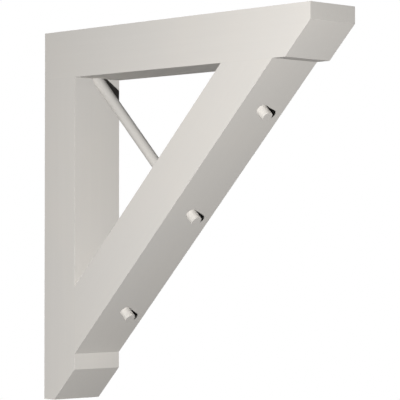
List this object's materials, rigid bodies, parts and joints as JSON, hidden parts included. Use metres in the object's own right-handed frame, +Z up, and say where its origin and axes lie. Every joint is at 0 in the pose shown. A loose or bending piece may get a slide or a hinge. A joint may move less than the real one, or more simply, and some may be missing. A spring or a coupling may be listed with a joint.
{
  "type": "architectural bracket",
  "caption": "Triangular wall bracket: wall leg, top beam and 45-degree brace flush at the sides, with a round tie rod through the brace to the inside corner and pegs beside it.",
  "frame": {"origin": "on the wall face, at mid-width and half-way up the bracket", "axes": "+X across the width, +Y into the wall so that the beam reaches out along -Y, +Z up"},
  "size_m": [0.0954, 0.6, 0.6],
  "materials": {
    "boards": "smooth off-white paint-grade cellular PVC board, matte, edges sanded",
    "dowels": "smooth off-white turned dowel, matte, a shade deeper than the boards"
  },
  "bodies": {
    "root": {"top_beam": "boards", "wall_leg": "boards", "diagonal_brace": "boards", "tie_rod": "dowels", "upper_peg": "dowels", "lower_peg": "dowels"}
  },
  "joints": []
}
